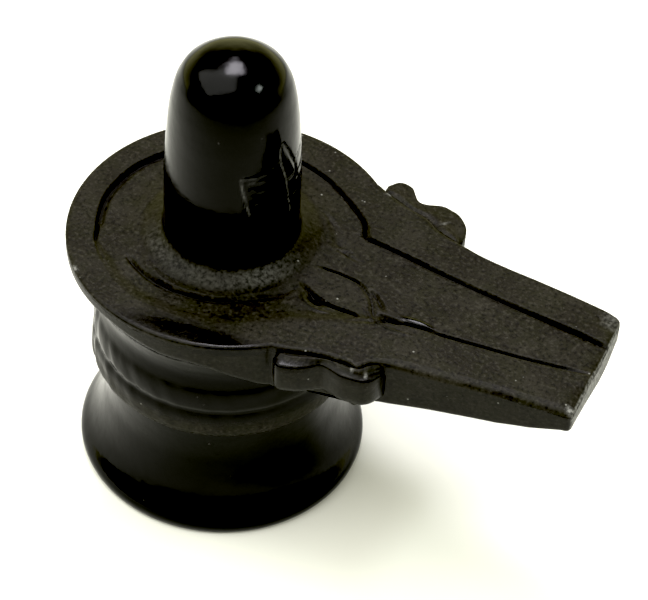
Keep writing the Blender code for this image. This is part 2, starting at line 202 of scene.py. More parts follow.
# The slab's edge and the brackets' fronts in plan, column by column round the stone
def slabColumns():
    counts, tip = slab["counts"], slab["tipX"]
    arcStart, arcEnd = slab["farRoot"][-1], slab["nearRoot"][0]
    start = math.atan2(arcStart[1], arcStart[0] - middleX)
    finish = 2 * math.pi + math.atan2(arcEnd[1], arcEnd[0] - middleX)
    farArc = circleOf(np.linspace(start, math.pi, counts["farArc"])[1:], slab["radius"], middleX)
    nearArc = circleOf(np.linspace(math.pi, finish, counts["nearArc"])[1:], slab["radius"], middleX)
    endFar = smoothPath([(tip, -1.9), (tip, 3.5), (tip, 9.7)], counts["endFar"])
    cornerFar = [(tip, 9.7), (tip - 0.3, 10.7), (tip - 1.0, 11.5), slab["farSide"][0]]
    cornerFar = smoothPath(cornerFar, counts["cornerFar"])[1:]
    farSide = smoothPath(slab["farSide"], counts["farSide"])[1:]
    farRoot = smoothPath(slab["farRoot"], counts["farRoot"])[1:]
    nearRoot = smoothPath(slab["nearRoot"], counts["nearRoot"])[1:]
    nearSide = smoothPath(slab["nearSide"], counts["nearSide"])[1:]
    cornerNear = [slab["nearSide"][-1], (tip - 0.3, -15.5), (tip, -14.9)]
    cornerNear = smoothPath(cornerNear, counts["cornerNear"])[1:]
    endNear = smoothPath([(tip, -14.9), (tip, -8), (tip, -1.9)], counts["endNear"])[1:-1]
    edge = np.vstack([endFar, cornerFar, farSide, farRoot, farArc, nearArc, nearRoot, nearSide,
                      cornerNear, endNear])
    fronts = edge.copy()
    farStart = len(endFar) + len(cornerFar) + len(farSide) + 2
    fronts[farStart:farStart + counts["farFront"]] = smoothPath(slab["farFront"], counts["farFront"])
    nearStart = farStart + len(farRoot) + len(farArc) + len(nearArc) - 1
    fronts[nearStart:nearStart + counts["nearFront"]] = smoothPath(slab["nearFront"], counts["nearFront"])
    return edge, fronts


slabEdge, bracketFront = slabColumns()
columns = len(slabEdge)
print("columns round the slab", columns)

# How far round the rings each column stands, on the linga and on the pedestal
evenTurns = 2 * math.pi * np.arange(columns) / columns
trueTurns = np.unwrap(np.arctan2(slabEdge[:, 1], slabEdge[:, 0] - middleX))
trueTurns -= 2 * math.pi * round(trueTurns[0] / (2 * math.pi))
lingaTurns = 0.6 * evenTurns + 0.4 * trueTurns


# The closed plan curve moved inwards
def towardsDisc(points, amount):
    along = np.roll(points, -1, axis=0) - np.roll(points, 1, axis=0)
    along /= np.linalg.norm(along, axis=1)[:, None] + 1e-9
    return points + np.stack([-along[:, 1], along[:, 0]], 1) * np.asarray(amount).reshape(-1, 1)


# How deep the slab's side is at each place of its edge
def depthsOf(edge):
    places, depths = zip(*slab["depths"])
    depth = np.interp(edge[:, 0], places, depths)
    across, endDepths = zip(*slab["endDepths"])
    onEnd = np.clip((edge[:, 0] - slab["tipX"] + 1.2) / 1.0, 0, 1)
    return depth + (np.interp(edge[:, 1], across, endDepths) - depth) * onEnd


# Rounding of the worn rim: tight round the disc, softer along the spout
def edgeRounding(edge):
    alongSpout = np.clip((edge[:, 0] - 40) / 6, 0, 1)
    return slab["rimRadius"] + alongSpout * np.where(edge[:, 1] < -3, slab["nearMore"], slab["farMore"])


# From the crown of the linga to where its collar runs out on the slab
def lingaRings():
    return [withHeight(circleOf(lingaTurns, radius, middleX), height)
            for radius, height in smoothPath(linga["profile"], linga["rings"])]


# Out over the slab's top, round its rim and down its side, with the brackets pushed out of it
def slabRings(collar):
    rounding = edgeRounding(slabEdge)
    flatEnd = towardsDisc(slabEdge, rounding)
    rings = [withHeight(collar + (flatEnd - collar) * share, slabTop)
             for share in np.linspace(0, 1, slab["topRings"] + 1)[1:]]
    for turn in np.radians(slab["rimTurns"]):
        plan = towardsDisc(slabEdge, rounding * (1 - math.sin(turn)))
        rings.append(withHeight(plan, slabTop - rounding * (1 - math.cos(turn))))
    depth = depthsOf(slabEdge)
    outwards = bracketFront - slabEdge
    amount = np.clip(np.linalg.norm(outwards, axis=1) / bracket["fullReach"], 0, 1)
    onFar = (slabEdge[:, 1] > 0) & (slabEdge[:, 0] < 60)
    flush = np.where(onFar, bracket["farTop"], 1.0)
    grooveLeft = np.clip((bracket["grooveEnd"] - slabEdge[:, 0]) / 2, 0.25, 1)
    for number, (share, height) in enumerate(bracket["steps"]):
        plain = -rounding - (depth - 1.0 - rounding) * number / len(bracket["steps"])
        if number in bracket["grooveSteps"]:
            height = height * np.where(slabEdge[:, 0] > 30, grooveLeft, 1)
        if number < bracket["topSteps"]:
            height = height * flush
        lift = plain + (height - plain) * amount
        rings.append(withHeight(slabEdge + outwards * share, slabTop + lift))
    for setBack, above in slab["lowerEdge"]:
        rings.append(withHeight(towardsDisc(slabEdge, setBack), slabTop - depth + above))
    return rings


# In under the slab to the bowl, and down the bowl to the neck
def bowlRings():
    rings = []
    radii, heights = np.array(foot["bowl"]).T
    depth = depthsOf(slabEdge)
    under = towardsDisc(slabEdge, slab["lowerEdge"][-1][0])
    joint = np.minimum(heights[-1], slabTop - depth - 0.1)
    jointPlan = circleOf(evenTurns, np.interp(joint, heights, radii), 0)
    for share in (0.25, 0.5, 0.72, 0.88, 1.0):
        height = slabTop - depth + (joint - slabTop + depth) * share ** 2
        rings.append(withHeight(under + (jointPlan - under) * share, height))
    for share in np.linspace(0, 1, foot["bowlRings"] + 1)[1:]:
        height = joint + (heights[0] - joint) * share
        rings.append(withHeight(circleOf(evenTurns, np.interp(height, heights, radii), 0), height))
    return rings


# The edges that run round the ring, always in the same order
def ringEdges(ring):
    inRing = set(ring)
    return list(dict.fromkeys(edge for vert in ring for edge in vert.link_edges
                              if edge.other_vert(vert) in inRing))


# A capped circle, whose rim takes these places in order
def startRing(bm, places):
    made = bmesh.ops.create_circle(bm, cap_ends=True, cap_tris=True, segments=len(places), radius=1)
    rim = [vert for vert in made["verts"] if vert.co.length > 0.5]
    rim.sort(key=lambda vert: math.atan2(vert.co.y, vert.co.x) % (2 * math.pi) + 1e-4)
    middle = [vert for vert in made["verts"] if vert.co.length <= 0.5]
    for vert, place in zip(rim, places):
        vert.co = place
    middle[0].co = np.mean(places, axis=0)
    return rim


# The ring's edges extruded, and the new ring moved to these places
def nextRing(bm, ring, places):
    made = bmesh.ops.extrude_edge_only(bm, edges=ringEdges(ring))
    fresh = {item for item in made["geom"] if isinstance(item, bmesh.types.BMVert)}
    following = []
    for vert, place in zip(ring, places):
        partner = next(edge.other_vert(vert) for edge in vert.link_edges if edge.other_vert(vert) in fresh)
        partner.co = place
        following.append(partner)
    return following


# A point added in the middle of each edge of the ring, and all moved to these places
def doubledRing(bm, ring, places):
    bm.verts.index_update()
    order = [vert.index for vert in ring]
    before = len(bm.verts)
    bmesh.ops.subdivide_edges(bm, edges=ringEdges(ring), cuts=1)
    bm.verts.ensure_lookup_table()
    bm.verts.index_update()
    full = []
    for number, following in zip(order, order[1:] + order[:1]):
        vert, after = bm.verts[number], bm.verts[following]
        beside = [edge.other_vert(vert) for edge in vert.link_edges]
        between = next(other for other in beside if other.index >= before
                       and any(edge.other_vert(other) is after for edge in other.link_edges))
        full += [vert, between]
    for vert, place in zip(full, places):
        vert.co = place
    return full


# The linga has half as many columns as the slab, and so has the foot, which meets the bowl at the neck
def buildSkin():
    bm = bmesh.new()
    above = lingaRings()
    below = slabRings(above[-1][:, :2]) + bowlRings()
    ring = startRing(bm, above[0][::2])
    for places in above[1:]:
        ring = nextRing(bm, ring, places[::2])
    ring = doubledRing(bm, ring, above[-1])
    for places in below:
        ring = nextRing(bm, ring, places)
    halfTurns = evenTurns[::2]
    upward = smoothPath(foot["profile"], foot["rings"])
    ring = startRing(bm, withHeight(circleOf(halfTurns, upward[0][0] * foot["capShare"], 0), 0.0))
    for radius, height in upward:
        ring = nextRing(bm, ring, withHeight(circleOf(halfTurns, radius, 0), height))
    doubledRing(bm, ring, below[-1])
    bmesh.ops.remove_doubles(bm, verts=bm.verts, dist=0.002)
    bmesh.ops.recalc_face_normals(bm, faces=bm.faces)
    return bm


skin = buildSkin()
print("skin", len(skin.verts), "points", len(skin.faces), "faces",
      "open edges", sum(1 for edge in skin.edges if len(edge.link_faces) != 2))


# Line work of the slab's top, in plan: an incised line has a width and a depth, a ridge a negative depth
moatEdge = {
    # x, y and how deep the cut is at the foot of the wall
    "line": [(78, 3.4, 0.3), (76, 3.7, 0.5), (74.7, 3.9, 1.2), (70.5, 4.6, 1.45), (62.3, 5.3, 1.2),
             (54, 6.1, 1.0), (45.5, 7.1, 0.95), (41.2, 7.7, 1.0), (36.8, 8.5, 1.1), (32.4, 9.1, 0.95),
             (28, 9.8, 1.05), (25.8, 10.0, 1.2), (24.9, 11.0, 1.3), (23.7, 13.4, 1.2), (20.5, 16.2, 1.1),
             (17.1, 18.6, 1.1), (12.9, 21.2, 1.1), (9.4, 22.7, 1.1), (5.3, 23.9, 1.1), (0, 24.9, 1.2),
             (-6, 24.6, 1.2), (-12, 22.4, 1.2), (-17, 18.1, 1.3), (-20.2, 14.2, 1.35), (-22.2, 11.1, 1.35),
             (-24.2, 6.6, 1.35), (-25.1, 0, 1.3), (-24.7, -4.3, 1.3), (-23.4, -8.5, 1.2),
             (-22.0, -11.8, 1.0), (-20.4, -14.9, 0.5), (-16.5, -18.9, 0.15), (-11.5, -22.6, 0.1),
             (-5.6, -24.7, 0.1), (2.9, -25.0, 0.1), (10.2, -23.2, 0.1), (16.7, -19.7, 0.05),
             (23.1, -15.9, 0.0), (29, -13.2, 0.0), (35, -10.4, 0.3), (38.6, -8.6, 0.8),
             (41.4, -8.0, 1.0), (44.6, -7.7, 1.0), (48.2, -7.7, 1.0), (55.3, -7.1, 0.95),
             (63, -6.4, 0.95), (70.3, -5.4, 0.9), (73.2, -4.9, 0.6), (76, -4.6, 0.3), (78, -4.4, 0.2)],
    "points": 420,
    "floor": 0.5,  # how far the floor lies below the slab's top
    # a wall's foot: starts so far outside the line and over what length, ends so far in and over what length
    "roundFoot": (0.12, 0.42, 1.25, 0.85),
    "sharpFoot": (0.62, 0.55, 1.25, 0.95),
    "wideFoot": (0.12, 0.45, 2.1, 1.1),
    # the ground round the linga stands up again, sharply on its near arc and softly elsewhere
    "platformRadius": 19.5,
    "platformMore": 2.4,
    "platformRise": 0.42,
    "platformEdge": 0.9,
    "platformSoft": 5.0,
}

incisedLines = {
    "platformNear": {"path": [(-13.6, -14.6), (-12.3, -15.9), (-6.6, -18.6), (0, -19.4), (7.6, -18.0),
                              (13.9, -14.0), (16.9, -11.0), (18.6, -8.2)],
                     "width": 1.5, "depth": 0.95, "fade": 0.07, "lean": 0.55},
    "platformFar": {"path": [(13.8, 13.2), (16.8, 11.3), (19.5, 8.0), (22.4, 4.8), (24.4, 3.7),
                             (27.2, 3.2)],
                    "width": 1.2, "depth": 0.4, "fade": 0.3, "lean": -0.4},
    "leafUpper": {"path": [(19.8, -1.5), (22.0, -1.3), (24.5, -1.2), (28.2, -1.7), (30.5, -2.9),
                           (32.0, -4.2), (33.2, -6.0), (34.2, -7.9), (35.4, -9.3)],
                  "width": 0.9, "depth": 0.75, "fade": 0.12, "lean": 0.5},
    "leafRib": {"path": [(30.9, -2.2), (32.4, -3.2), (33.8, -4.4), (35.0, -5.6), (36.2, -6.8)],
                "width": 1.1, "depth": 0.75, "fade": 0.3, "lean": 0.3},
    "leafGouge": {"path": [(19.0, -6.6), (20.6, -7.6), (22.4, -8.6), (24.2, -9.2), (25.8, -9.7),
                           (28.4, -9.8), (31.2, -9.8), (32.5, -10.5)],
                  "width": 1.3, "depth": 0.95, "fade": 0.1, "lean": 0.6},
    "leafPocket": {"path": [(20.4, -8.2), (22.4, -9.5), (24.4, -10.1), (26.0, -10.1)],
                   "width": 2.6, "depth": 0.8, "fade": 0.35, "lean": 0.3},
    "toothPocket": {"path": [(35.4, -8.4), (37.0, -8.2), (38.6, -8.3), (40.4, -8.2)],
                    "width": 2.3, "depth": 1.1, "fade": 0.25, "lean": 0.2},
    "leafLip": {"path": [(18.6, -7.2), (19.9, -8.9), (21.3, -10.7), (24.2, -12.0), (28.2, -11.3)],
                "width": 1.1, "depth": -0.22, "fade": 0.3, "lean": 0.0},
    "ribLight": {"path": [(29.6, -3.4), (31.2, -4.7), (32.5, -6.4), (33.5, -8.2), (35.0, -9.9),
                          (37.5, -10.8), (40.4, -10.9), (44.2, -10.2)],
                 "width": 0.8, "depth": -0.25, "fade": 0.25, "lean": 0.0},
}


# Distance of each place from the path, the side it is on, and the share of the way along
def measuredFrom(places, path):
    starts, ends = path[:-1], path[1:]
    runs = ends - starts
    lengths = np.linalg.norm(runs, axis=1)
    before = np.concatenate([[0], np.cumsum(lengths)])
    best = np.full(len(places), 1e9)
    side = np.ones(len(places))
    share = np.zeros(len(places))
    for number, (start, run, length) in enumerate(zip(starts, runs, lengths)):
        offset = places - start
        part = np.clip(offset @ run / (length * length + 1e-12), 0, 1)
        gap = np.linalg.norm(offset - part[:, None] * run, axis=1)
        closer = gap < best
        best = np.where(closer, gap, best)
        side = np.where(closer, np.sign(run[0] * offset[:, 1] - run[1] * offset[:, 0]), side)
        share = np.where(closer, (before[number] + part * length) / before[-1], share)
    return best, side, share


# True where a place lies within the closed outline
def insideOf(places, outline):
    within = np.zeros(len(places), bool)
    for first, second in zip(outline, np.roll(outline, -1, axis=0)):
        spans = (first[1] > places[:, 1]) != (second[1] > places[:, 1])
        rise = second[1] - first[1] + 1e-12
        crossing = first[0] + (places[:, 1] - first[1]) / rise * (second[0] - first[0])
        within ^= spans & (places[:, 0] < crossing)
    return within


def softStep(value):
    held = np.clip(value, 0, 1)
    return held * held * (3 - 2 * held)


# Depth share across a cut: its steep wall lies on the side that the lean points to
def cutProfile(signed, width, lean):
    peak = 0.5 * lean * width * 0.5
    half = width / 2
    left = softStep((signed + half) / (half + peak))
    right = softStep((half - signed) / (half - peak))
    return np.where(signed < peak, left, right)


# One along the foot of a wall, falling to none on both sides
def wallFoot(signed, start, rise, end, fade):
    return softStep((signed + start) / rise) * softStep((end - signed) / fade)


# The moat and the spout's channel: how far down each place goes, and how much painted shade falls at the
# feet of its walls
def carveMoat(places):
    line = smoothPath(moatEdge["line"], moatEdge["points"])
    gap, _, share = measuredFrom(places, line[:, :2])
    signed = np.where(insideOf(places, line[:, :2]), gap, -gap)
    wall = np.interp(share, np.linspace(0, 1, len(line)), line[:, 2])
    softness = np.interp(wall, [0.0, 0.15, 0.5, 1.0], [3.4, 2.8, 1.0, 0.55])
    drop = moatEdge["floor"] * softStep((signed + 0.12 * softness) / softness)
    onNearSpout = (places[:, 1] < 1) & (places[:, 0] > 30)
    shape = np.where(onNearSpout, 1.2 * wallFoot(signed, *moatEdge["sharpFoot"]),
                     wallFoot(signed, *moatEdge["roundFoot"]))
    drop = np.maximum(drop, wall * shape)
    turns = np.degrees(np.arctan2(places[:, 1], places[:, 0] - middleX))
    fromMiddle = np.hypot(places[:, 0] - middleX, places[:, 1])
    elsewhere = 1 - softStep((turns + 135) / 12) * softStep((-12 - turns) / 14)
    edge = moatEdge["platformEdge"] + moatEdge["platformSoft"] * elsewhere
    radius = moatEdge["platformRadius"] + moatEdge["platformMore"] * elsewhere
    rise = softStep((radius - fromMiddle) / edge)
    drop = drop - moatEdge["platformRise"] * rise * np.clip(drop / moatEdge["floor"], 0, 1)
    leftWall = softStep((-12 - places[:, 0]) / 8) * softStep((places[:, 1] + 12) / 3)
    drop = np.maximum(drop, leftWall * wall * wallFoot(signed, *moatEdge["wideFoot"]))
    # the second value is painted shade at the feet of the walls, carried on as fresh
    return drop, softStep(wall * shape / 0.9)


# The incised lines cut into what is there, and the ridges raised from it
def carveLines(places, drop, fresh):
    for cut in incisedLines.values():
        gap, side, share = measuredFrom(places, smoothPath(cut["path"], 90))
        taper = softStep(share / cut["fade"]) * softStep((1 - share) / cut["fade"])
        width = cut["width"] * (0.55 + 0.45 * taper)
        pastEnd = (share <= 0) | (share >= 1)
        shape = cutProfile(gap * side, width, cut["lean"]) * np.where(pastEnd, 0, taper)
        drop = drop + cut["depth"] * shape
        # fresh here is painted shade along every incised line and raised ridge
        fresh = np.maximum(fresh, 0.8 * np.abs(shape))
    return drop, fresh


wear = {
    # the rim is rubbed down to a gentle slope, widest along the spout's near side
    "rimWidth": 0.75,
    "nearSpoutMore": 0.95,
    "rimSlope": 0.24,
    # small polished facet beside the leaf: place and size in plan, where its slope starts and how steep
    "facetMiddle": (42.6, -6.7),
    "facetSize": (4.0, 1.0),
    "facetTop": -5.6,
    "facetSlope": 0.24,
    "facetDeepest": 1.2,
    # rough far corner of the spout's tip
    "cornerMiddle": (75.6, 9.6),
    "cornerReach": 2.4,
    "cornerDrop": 0.25,
    "cornerRough": 0.22,
}


# The rubbed rim, the polished facet and the rough corner
def wearTop(places, drop, fresh):
    x, y = places.T
    gap, _, _ = measuredFrom(places, np.vstack([slabEdge, slabEdge[:1]]))
    onNearSpout = (y < -8) * softStep((x - 38) / 6)
    width = wear["rimWidth"] + wear["nearSpoutMore"] * onNearSpout
    drop = drop + wear["rimSlope"] * np.clip(width - gap, 0, 5) * softStep((width - gap) / 0.4)
    along, across = ((places - wear["facetMiddle"]) / wear["facetSize"]).T
    within = softStep(1.3 - np.hypot(along, across) / 0.8)
    sloped = np.clip(wear["facetSlope"] * (wear["facetTop"] - y), 0, wear["facetDeepest"])
    drop = drop * (1 - within) + sloped * within
    # no painted shade on the facet
    fresh = fresh * (1 - within)
    fromCorner = np.hypot(x - wear["cornerMiddle"][0], y - wear["cornerMiddle"][1])
    corner = softStep(1.5 - fromCorner / wear["cornerReach"])
    rough = np.sin(x * 7.1 + 2 * np.sin(y * 5.3)) * np.sin(y * 6.7 + 1)
    return drop + corner * (wear["cornerDrop"] + wear["cornerRough"] * rough), fresh


# Each of these faces split in four, always in the same order
def splitFaces(bm, faces):
    edges = dict.fromkeys(edge for face in faces for edge in face.edges)
    bmesh.ops.subdivide_edges(bm, edges=list(edges), cuts=1, use_grid_fill=True)


# More faces on the slab's top between two corners in plan
def refineArea(bm, low, high):
    chosen = []
    for face in bm.faces:
        middle = face.calc_center_median()
        if low[0] < middle.x < high[0] and low[1] < middle.y < high[1] and middle.z > slabTop - 0.01:
            chosen.append(face)
    splitFaces(bm, chosen)


# More faces on the slab's top where its sharp walls run
def refineWalls(bm, reach, sharpest):
    line = smoothPath(moatEdge["line"], moatEdge["points"])
    strong = (line[:, 2] > sharpest).astype(float)
    faces = [face for face in bm.faces
             if slabTop - 0.01 < face.calc_center_median().z < slabTop + 0.05]
    places = np.array([face.calc_center_median()[:2] for face in faces])
    gap, _, share = measuredFrom(places, line[:, :2])
    held = np.interp(share, np.linspace(0, 1, len(line)), strong) > 0.5
    splitFaces(bm, [face for face, chosen in zip(faces, (gap < reach) & held) if chosen])


leafArea = ((17.8, -12.8), (46, 4))
refineArea(skin, *leafArea)
refineWalls(skin, 1.0, 0.35)
points = np.array([vert.co[:] for vert in skin.verts])
fromLinga = np.hypot(points[:, 0] - middleX, points[:, 1])
onTop = (points[:, 2] > slabTop - 0.9) & (points[:, 2] < slabTop + 0.3) & (fromLinga > 16.0)
topPlaces = points[onTop][:, :2]
# fresh carries painted shade for the groove bottoms and the feet of the walls
drop, fresh = wearTop(topPlaces, *carveLines(topPlaces, *carveMoat(topPlaces)))
points[onTop, 2] -= drop * np.clip((fromLinga[onTop] - 16.0) / 1.0, 0, 1)
print("slab's top carved", len(topPlaces), "points")


# The mark cut into the linga's side: turn about the linga in degrees, and height
markLines = {
    "upperLine": {"path": [(-57, 81.2), (-50, 80.9), (-40, 81.2), (-30, 81.9), (-21, 82.7)],
                  "width": 0.75, "light": 0.05},
    "lowerLine": {"path": [(-50, 78.5), (-42, 78.0), (-33, 77.7), (-25, 77.4)], "width": 0.6, "light": 0.0},
    "bottomLine": {"path": [(-48, 71.2), (-36, 69.9), (-24, 69.7)], "width": 0.6, "light": 0.03},
    "middleLight": {"path": [(-51, 80.0), (-40, 79.9), (-30, 80.3), (-24, 80.9)], "width": 0.45,
                    "light": 0.04},
    "lowLight": {"path": [(-46, 75.3), (-38, 75.1), (-31, 75.4)], "width": 0.5, "light": 0.05},
    "upright": {"path": [(-57.9, 80.8), (-56.3, 78.6), (-54, 76), (-52, 74), (-50.3, 72.6)],
                "width": 0.55, "light": 0.17},
    "loopLeft": {"path": [(-17.3, 86.2), (-19.6, 85.4), (-20.4, 83.3), (-17.3, 80.5), (-14.2, 77.6),
                          (-12.3, 74.8), (-10.3, 72.0), (-8.1, 69.1)], "width": 0.6, "light": 0.2},
    "loopRight": {"path": [(-17.3, 86.2), (-14.6, 85.4), (-8.7, 82.8), (-3.2, 80.2), (-0.7, 78.4),
                           (-3.8, 77.4), (-8.5, 77.4), (-12.9, 77.4)], "width": 0.6, "light": 0.1},
    "loopCross": {"path": [(15, 73.8), (8.5, 72.6), (-0.6, 72.3), (-8.9, 72.2), (-15.6, 72.0)],
                  "width": 0.55, "light": 0.1},
    "rightBar": {"path": [(22, 81.4), (12, 80.9), (4, 80.3), (-2, 79.9)], "width": 0.6, "light": 0.04},
    "rightBarLow": {"path": [(24, 76.8), (14, 76.6), (4, 76.0), (-4, 75.4)], "width": 0.6, "light": 0.04},
}

markDepth = 0.17


# How deep the mark is cut at each place on the linga, and how light its stroke is
def carveMark(places):
    wrapRadius = 12.7
    turns = np.degrees(np.arctan2(places[:, 1], places[:, 0] - middleX))
    flat = np.stack([np.radians(turns) * wrapRadius, places[:, 2]], 1)
    depth = np.zeros(len(places))
    light = np.zeros(len(places))
    for mark in markLines.values():
        path = np.array(mark["path"], float)
        path[:, 0] = np.radians(path[:, 0]) * wrapRadius
        gap, _, _ = measuredFrom(flat, smoothPath(path, 40))
        shape = softStep((mark["width"] / 2 + 0.12 - gap) / 0.42)
        depth = np.maximum(depth, shape)
        light = np.maximum(light, shape * mark["light"])
    return depth, light


onLinga = (points[:, 2] > 66) & (fromLinga < 13.5)
markShape, markLight = carveMark(points[onLinga])
outwards = points[onLinga][:, :2] - np.array([middleX, 0])
outwards /= np.linalg.norm(outwards, axis=1)[:, None] + 1e-9
points[onLinga, :2] -= outwards * (markDepth * markShape)[:, None]
print("mark cut in the linga's side")


# Coarse slanting tool grooves round the ring under the waist
grooves = {
    "bottom": 25.4,
    "top": 38.4,
    "depth": 0.065,
    "setBack": 0.1,  # the ring is turned down by this much as well
    "slant": 0.75,
}


# How deep the tool bit: coarse on the ring's left and finer elsewhere
def grooveDepth(turns, heights):
    slant = turns * 26 + heights * grooves["slant"]
    ridges = np.sin(slant + 1.3 * np.sin(turns * 5 + 0.4))
    ridges = ridges + 0.7 * np.sin(slant * 1.71 - heights * 0.5 + 2)
    ridges = ridges + 0.5 * np.sin(slant * 2.9 + heights * 0.9)
    coarse = 0.35 + 0.65 * softStep((-0.2 - np.cos(turns - 0.4)) / 0.7)
    ends = softStep((heights - grooves["bottom"]) / 0.8) * softStep((grooves["top"] - heights) / 1.5)
    return grooves["depth"] * ridges * coarse * ends


fromFoot = np.hypot(points[:, 0], points[:, 1])
onRing = (points[:, 2] > grooves["bottom"]) & (points[:, 2] < grooves["top"]) & (fromFoot < 27)
ringTurns = np.arctan2(points[onRing, 1], points[onRing, 0])
inwards = grooveDepth(ringTurns, points[onRing, 2]) + grooves["setBack"]
points[onRing, :2] *= (1 - inwards / fromFoot[onRing])[:, None]
print("ring grooved")


# One at the middle of an oval patch, falling softly to none at its edge
def blob(places, middle, size, lean=0.0):
    turn = math.radians(lean)
    offset = places[:, :2] - np.array(middle)
    along = (offset[:, 0] * math.cos(turn) + offset[:, 1] * math.sin(turn)) / size[0]
    across = (-offset[:, 0] * math.sin(turn) + offset[:, 1] * math.cos(turn)) / size[1]
    return softStep(1.35 - np.hypot(along, across))


surface = {
    # how matt each part is, from none on the polish to one at the foot of a wall; above about two thirds it
    # becomes painted shade
    "ground": 0.62,
    "collar": 0.5,
    "slabSide": 0.3,
    "ringTop": 0.04,
    "ringFoot": 0.45,
    # rubbed places: amount, middle and size in plan, and lean
    "rubbedRim": (0.75, (8.0, -28.2), (19, 3.0), 5),
    "rubbedFacet": (0.95, wear["facetMiddle"], wear["facetSize"], 0),
    # painted light on the collar's near half, the painted highlight its brightest place has more, and
    # paleness of the spout's end
    "collarPaintedLight": 0.04,
    "collarPaintedHighlight": 0.06,
    "endFace": 0.3,
    # the tip's rough corner: paleness, middle and size in plan
    "corner": (0.12, (75.4, 10.0), (2.4, 2.6)),
    # small white chips, and at the spout's near tip corner a painted highlight: place in plan, size and
    # lightness
    "chipsAndPaintedGlint": [((-20.1, -22.9), 0.45, 0.8), ((39.2, -22.4), 0.35, 0.8), ((36.6, -22.6), 0.3, 0.6),
              ((49.9, -7.6), 0.4, 0.7), ((24.2, 22.6), 0.35, 0.6), ((37.2, 20.3), 0.3, 0.4),
              # the first entry on this line is a painted highlight, not a chip
              ((75.9, -14.6), 0.8, 0.5), ((75.4, 8.0), 0.5, 0.3)],
}


# How matt the stone is at each point
def carvedAmounts():
    height = points[:, 2]
    amount = np.zeros(len(points))
    # the ground's matt amount, raised by painted shade at groove bottoms and the feet of walls
    amount[onTop] = np.clip(surface["ground"] + (1 - surface["ground"]) * fresh, 0, 1)
    amount[onCollar] = surface["collar"] * softStep((60.3 - height[onCollar]) / 1.5)
    amount[onLinga] = 0
    amount[~onTop & (fromLinga > 29.0) & (height > 45)] = surface["slabSide"]
    amount[onRing] = surface["ringTop"] + surface["ringFoot"] * softStep((30.8 - height[onRing]) / 2.5)
    rubbed = np.zeros(len(points))
    for share, middle, size, lean in (surface["rubbedRim"], surface["rubbedFacet"]):
        rubbed = np.maximum(rubbed, share * blob(points, middle, size, lean))
    return amount * (1 - rubbed * onSlabTop)


# How pale it is: the mark's strokes, painted light and a painted highlight on the collar's near half, the
# end of the spout, the chips and a painted highlight at the spout's near tip corner
def palenessAndPaintedLight():
    height = points[:, 2]
    amount = np.zeros(len(points))
    amount[onLinga] = markLight
    way = np.degrees(np.arctan2(points[:, 1], points[:, 0] - middleX))
    # painted light on the near half of the collar, with a painted highlight round -42 degrees
    band = softStep((17.2 - fromLinga) / 1.6) * softStep((59.4 - height) / 0.8) * onCollar
    nearHalf = softStep((way + 165) / 30) * softStep((5 - way) / 30)
    paintedHighlightSpot = np.exp(-((way + 42) / 16) ** 2)
    amount += band * nearHalf * (surface["collarPaintedLight"] + surface["collarPaintedHighlight"] * paintedHighlightSpot)
    amount[(points[:, 0] > 76.3) & (height > 45)] = surface["endFace"]
    # the painted highlight at the spout's near tip corner is laid on with the chips
    for middle, size, light in surface["chipsAndPaintedGlint"]:
        chip = light * blob(points, middle, (size, size)) * (height > slabTop - 3)
        amount = np.maximum(amount, chip)
    light, middle, size = surface["corner"]
    return np.maximum(amount, light * blob(points, middle, size) * onSlabTop)


onCollar = (fromLinga < 17.6) & (points[:, 2] > slabTop - 1) & (points[:, 2] < 60.6)
onSlabTop = (points[:, 2] > slabTop - 2) & (points[:, 2] < slabTop + 0.3)
for name, amounts in (("carved", carvedAmounts()), ("light", palenessAndPaintedLight())):
    layer = skin.verts.layers.float.new(name)
    for vert, amount in zip(skin.verts, amounts):
        vert[layer] = amount
for vert, place in zip(skin.verts, points):
    vert.co = place

stoneMesh = bpy.data.meshes.new("shivaLingamStone")
bmesh.ops.scale(skin, vec=(0.001, 0.001, 0.001), verts=skin.verts)
for face in skin.faces:
    face.smooth = True
skin.to_mesh(stoneMesh)
skin.free()
stone = bpy.data.objects.new("shivaLingamStone", stoneMesh)
bpy.context.scene.collection.objects.link(stone)
stoneMesh.calc_loop_triangles()
print("stone", len(stoneMesh.loop_triangles), "triangles")


def node(tree, kind, **values):
    made = tree.nodes.new(kind)
    for name, value in values.items():
        if hasattr(made, name):
            setattr(made, name, value)
        else:
            made.inputs[name.replace("_", " ")].default_value = value
    return made


# A colour between low and high, each a colour or a socket
def mixNode(tree, amount, low, high):
    made = node(tree, "ShaderNodeMix", data_type="RGBA")
    if isinstance(amount, float):
        made.inputs[0].default_value = amount
    else:
        tree.links.new(amount, made.inputs[0])
    for place, value in ((6, low), (7, high)):
        if isinstance(value, tuple):
            made.inputs[place].default_value = value
        else:
            tree.links.new(value, made.inputs[place])
    return made.outputs[2]


def rangeNode(tree, value, low, high, start=0.0, end=1.0):
    made = node(tree, "ShaderNodeMapRange", interpolation_type="SMOOTHSTEP")
    made.inputs["From Min"].default_value = low
    made.inputs["From Max"].default_value = high
    made.inputs["To Min"].default_value = start
    made.inputs["To Max"].default_value = end
    tree.links.new(value, made.inputs["Value"])
    return made.outputs["Result"]


def mathNode(tree, operation, first, second):
    made = node(tree, "ShaderNodeMath", operation=operation)
    for place, value in enumerate((first, second)):
        if isinstance(value, float):
            made.inputs[place].default_value = value
        else:
            tree.links.new(value, made.inputs[place])
    return made.outputs[0]


def noiseNode(tree, where, scale, detail=3.0, roughness=0.5):
    made = node(tree, "ShaderNodeTexNoise", Scale=scale, Detail=detail, Roughness=roughness)
    tree.links.new(where, made.inputs["Vector"])
    return made.outputs["Fac"]


